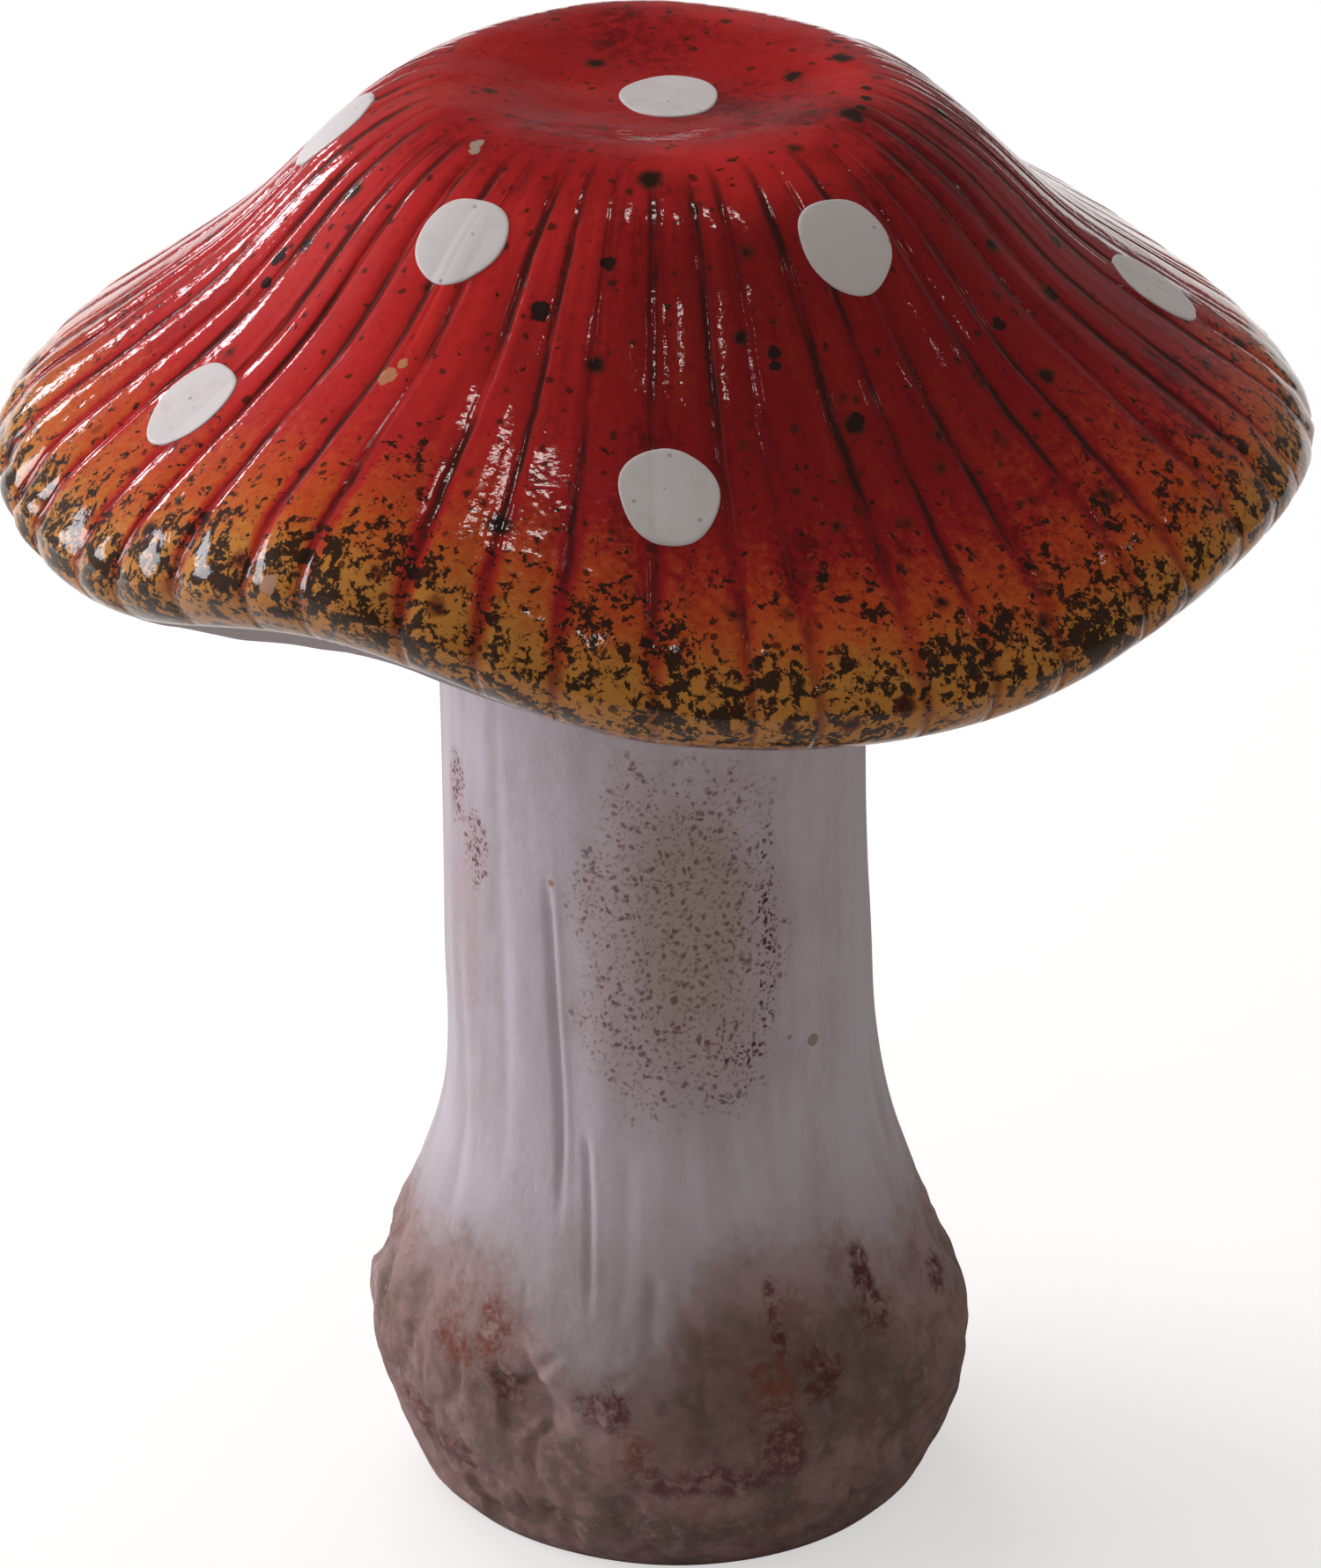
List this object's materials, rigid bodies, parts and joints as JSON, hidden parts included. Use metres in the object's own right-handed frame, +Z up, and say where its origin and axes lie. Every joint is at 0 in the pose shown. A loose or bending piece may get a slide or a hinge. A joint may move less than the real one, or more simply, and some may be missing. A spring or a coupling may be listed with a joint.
{
  "type": "garden mushroom statue",
  "caption": "Free-standing fired-clay toadstool ornament: a ribbed, glazed cap with white spots that lifts off a hollow stem with a bulbous foot.",
  "frame": {"origin": "on the ground, under the vertical axis on which the cap sits and turns", "axes": "+Z up along the cap's axis; the front of the ornament faces -Y; +X to the viewer's right"},
  "size_m": [0.2596, 0.2594, 0.3038],
  "materials": {
    "red_glaze": "gloss",
    "bare_clay": "matte",
    "whitewash": "matte",
    "white_spot": "satin"
  },
  "bodies": {
    "stem": {"stem_shell": "whitewash", "stem_floor": "bare_clay"},
    "collar": {"cap_collar": "bare_clay"},
    "cap": {"cap_shell": "red_glaze", "cap_underside": "bare_clay", "spot_crown": "white_spot", "spot_upper_1": "white_spot", "spot_upper_2": "white_spot", "spot_upper_3": "white_spot", "spot_upper_4": "white_spot", "spot_upper_5": "white_spot", "spot_lower_1": "white_spot", "spot_lower_2": "white_spot", "spot_lower_3": "white_spot", "spot_lower_4": "white_spot", "spot_lower_5": "white_spot"}
  },
  "joints": [
    {"name": "cap_lift", "type": "slide", "parent": "stem", "child": "collar", "axis": [0, 0, 1], "range_m": [0, 0.06]},
    {"name": "cap_turn", "type": "hinge", "parent": "collar", "child": "cap", "pos_m": [0, 0, 0.221], "axis": [0, 0, 1], "continuous": true}
  ]
}
